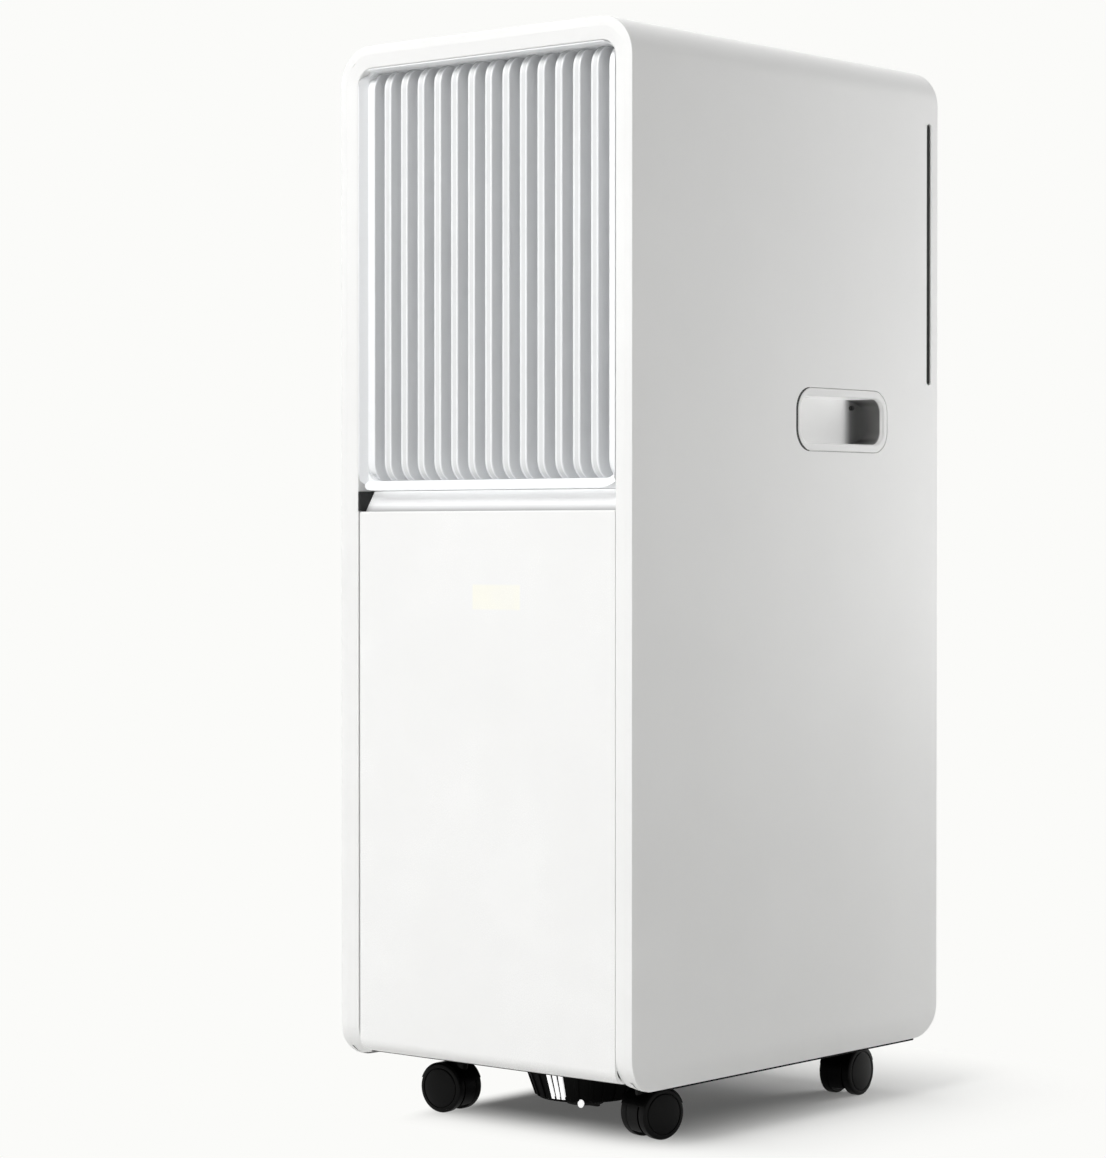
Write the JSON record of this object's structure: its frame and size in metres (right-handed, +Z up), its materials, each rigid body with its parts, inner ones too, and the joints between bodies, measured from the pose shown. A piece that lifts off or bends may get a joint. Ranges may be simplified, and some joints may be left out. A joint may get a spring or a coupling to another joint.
{
  "type": "portable air conditioner",
  "caption": "Upright portable air conditioner: a wraparound cabinet with a finned front outlet, side finger pockets, a slide-out filter, rear exhaust collar and swivel casters.",
  "frame": {"origin": "on the floor, under the middle of the cabinet", "axes": "+Z up; the outlet side faces -Y; +X is the side with the filter slot"},
  "size_m": [0.252, 0.342, 0.72],
  "materials": {
    "shell_white": "fine satin moulded plastic",
    "frame_white": "satin moulded plastic",
    "panel_white": "smooth satin-gloss moulded plastic",
    "grille_white": "satin moulded plastic",
    "scoop_grey": "satin moulded plastic",
    "foam_black": "soft foam strip",
    "diffuser": "frosted light diffuser",
    "board_green": "circuit board",
    "control_black": "gloss control strip",
    "button_grey": "satin push button",
    "chassis_black": "textured black plastic",
    "rubber_black": "rubber",
    "strainer_white": "moulded net basket",
    "collar_grey": "moulded plastic",
    "filter_black": "moulded plastic frame",
    "filter_net": "fine nylon net",
    "screw_steel": "zinc plated",
    "caster_black": "moulded nylon",
    "wheel_black": "moulded nylon, slightly glossy",
    "compressor_black": "black painted steel shell",
    "copper": "drawn copper tube",
    "coil_fin": "pressed fins",
    "inner_plastic": "moulded plastic",
    "fan_plastic": "moulded plastic",
    "motor_steel": "painted motor shell",
    "vane_white": "satin moulded plastic",
    "link_white": "moulded plastic",
    "box_grey": "painted sheet steel",
    "can_aluminium": "drawn can"
  },
  "bodies": {
    "cabinet": {"outer_sleeve": "shell_white", "front_frame": "frame_white", "outlet_grille": "grille_white", "front_panel": "panel_white", "grip_scoop": "scoop_grey", "side_seals": "foam_black", "display_window": "diffuser", "display_board": "board_green", "control_panel": "control_black", "control_board": "board_green", "rear_panel": "shell_white", "upper_intake_grille": "frame_white", "lower_intake_grille": "frame_white", "exhaust_collar": "collar_grey", "handle_cup_right": "frame_white", "handle_cup_left": "frame_white", "base_pan": "chassis_black", "drain_sump": "chassis_black", "drain_strainer": "strainer_white", "casing_screws": "screw_steel", "cord_gland": "rubber_black", "caster_stems": "screw_steel", "compressor": "compressor_black", "compressor_feet": "rubber_black", "refrigerant_pipes": "copper", "evaporator": "coil_fin", "condenser": "coil_fin", "partition_shelf": "inner_plastic", "air_duct": "inner_plastic", "blower_motor": "motor_steel", "hot_air_scroll": "inner_plastic", "condenser_motor": "motor_steel", "swing_motor": "motor_steel", "electrical_box": "box_grey", "run_capacitor": "can_aluminium"},
    "filter": {"filter_frame": "filter_black", "filter_mesh": "filter_net"},
    "power_key": {"power_button": "button_grey"},
    "mode_key": {"mode_button": "button_grey"},
    "fan_key": {"fan_button": "button_grey"},
    "up_key": {"up_button": "button_grey"},
    "down_key": {"down_button": "button_grey"},
    "sump_cap": {"drain_cap": "rubber_black"},
    "rear_plug": {"rear_drain_plug": "rubber_black"},
    "cold_fan": {"blower_wheel": "fan_plastic"},
    "hot_fan": {"condenser_wheel": "fan_plastic"},
    "link": {"vane_link": "link_white"},
    "vane_1": {"swing_vane_1": "vane_white"},
    "vane_2": {"swing_vane_2": "vane_white"},
    "vane_3": {"swing_vane_3": "vane_white"},
    "vane_4": {"swing_vane_4": "vane_white"},
    "fork_fl": {"caster_hood_fl": "caster_black"},
    "wheels_fl": {"caster_wheels_fl": "wheel_black"},
    "fork_fr": {"caster_hood_fr": "caster_black"},
    "wheels_fr": {"caster_wheels_fr": "wheel_black"},
    "fork_rl": {"caster_hood_rl": "caster_black"},
    "wheels_rl": {"caster_wheels_rl": "wheel_black"},
    "fork_rr": {"caster_hood_rr": "caster_black"},
    "wheels_rr": {"caster_wheels_rr": "wheel_black"}
  },
  "joints": [
    {"name": "filter_slide", "type": "slide", "parent": "cabinet", "child": "filter", "axis": [1, 0, 0], "range_m": [0, 0.21]},
    {"name": "power_press", "type": "slide", "parent": "cabinet", "child": "power_key", "axis": [0, 0, -1], "range_m": [0, 0.0012], "stiffness_N_per_m": 500, "springref_m": -0.0006},
    {"name": "mode_press", "type": "slide", "parent": "cabinet", "child": "mode_key", "axis": [0, 0, -1], "range_m": [0, 0.0012], "stiffness_N_per_m": 500, "springref_m": -0.0006},
    {"name": "fan_press", "type": "slide", "parent": "cabinet", "child": "fan_key", "axis": [0, 0, -1], "range_m": [0, 0.0012], "stiffness_N_per_m": 500, "springref_m": -0.0006},
    {"name": "up_press", "type": "slide", "parent": "cabinet", "child": "up_key", "axis": [0, 0, -1], "range_m": [0, 0.0012], "stiffness_N_per_m": 500, "springref_m": -0.0006},
    {"name": "down_press", "type": "slide", "parent": "cabinet", "child": "down_key", "axis": [0, 0, -1], "range_m": [0, 0.0012], "stiffness_N_per_m": 500, "springref_m": -0.0006},
    {"name": "sump_cap_turn", "type": "hinge", "parent": "cabinet", "child": "sump_cap", "pos_m": [0, -0.065, 0.012], "axis": [0, 0, 1], "range_deg": [0, 90]},
    {"name": "rear_plug_pull", "type": "slide", "parent": "cabinet", "child": "rear_plug", "axis": [0, 1, 0], "range_m": [0, 0.012]},
    {"name": "swivel_fl", "type": "hinge", "parent": "cabinet", "child": "fork_fl", "pos_m": [-0.0795, -0.1025, 0.03], "axis": [0, 0, 1], "continuous": true},
    {"name": "roll_fl", "type": "hinge", "parent": "fork_fl", "child": "wheels_fl", "pos_m": [-0.08748, -0.10306, 0.0168], "axis": [0.0698, -0.9976, 0], "continuous": true},
    {"name": "swivel_fr", "type": "hinge", "parent": "cabinet", "child": "fork_fr", "pos_m": [0.0795, -0.1025, 0.03], "axis": [0, 0, 1], "continuous": true},
    {"name": "roll_fr", "type": "hinge", "parent": "fork_fr", "child": "wheels_fr", "pos_m": [0.08127, -0.0947, 0.0168], "axis": [-0.9751, 0.2215, 0], "continuous": true},
    {"name": "swivel_rl", "type": "hinge", "parent": "cabinet", "child": "fork_rl", "pos_m": [-0.0795, 0.12, 0.03], "axis": [0, 0, 1], "continuous": true},
    {"name": "roll_rl", "type": "hinge", "parent": "fork_rl", "child": "wheels_rl", "pos_m": [-0.0755, 0.12693, 0.0168], "axis": [-0.866, 0.5, 0], "continuous": true},
    {"name": "swivel_rr", "type": "hinge", "parent": "cabinet", "child": "fork_rr", "pos_m": [0.0795, 0.12, 0.03], "axis": [0, 0, 1], "continuous": true},
    {"name": "roll_rr", "type": "hinge", "parent": "fork_rr", "child": "wheels_rr", "pos_m": [0.07898, 0.12798, 0.0168], "axis": [-0.9979, -0.0645, 0], "continuous": true},
    {"name": "cold_fan_spin", "type": "hinge", "parent": "cabinet", "child": "cold_fan", "pos_m": [0, 0.04, 0.588], "axis": [0, 1, 0], "continuous": true},
    {"name": "hot_fan_spin", "type": "hinge", "parent": "cabinet", "child": "hot_fan", "pos_m": [0, 0.062, 0.19], "axis": [0, 1, 0], "continuous": true},
    {"name": "vane_1_swing", "type": "hinge", "parent": "cabinet", "child": "vane_1", "pos_m": [0, -0.11, 0.46299], "axis": [1, 0, 0], "range_deg": [-25, 25]},
    {"name": "vane_2_swing", "type": "hinge", "parent": "cabinet", "child": "vane_2", "pos_m": [0, -0.11, 0.52996], "axis": [1, 0, 0], "range_deg": [-25, 25]},
    {"name": "vane_3_swing", "type": "hinge", "parent": "cabinet", "child": "vane_3", "pos_m": [0, -0.11, 0.59694], "axis": [1, 0, 0], "range_deg": [-25, 25]},
    {"name": "vane_4_swing", "type": "hinge", "parent": "cabinet", "child": "vane_4", "pos_m": [0, -0.11, 0.66391], "axis": [1, 0, 0], "range_deg": [-25, 25]},
    {"name": "link_pivot", "type": "hinge", "parent": "vane_2", "child": "link", "pos_m": [0.0985, -0.096, 0.52996], "axis": [1, 0, 0], "range_deg": [-25, 25]}
  ],
  "couplings": [
    {"joint": "vane_1_swing", "follows": "vane_2_swing", "ratio": 1},
    {"joint": "vane_3_swing", "follows": "vane_2_swing", "ratio": 1},
    {"joint": "vane_4_swing", "follows": "vane_2_swing", "ratio": 1},
    {"joint": "link_pivot", "follows": "vane_2_swing", "ratio": -1}
  ]
}
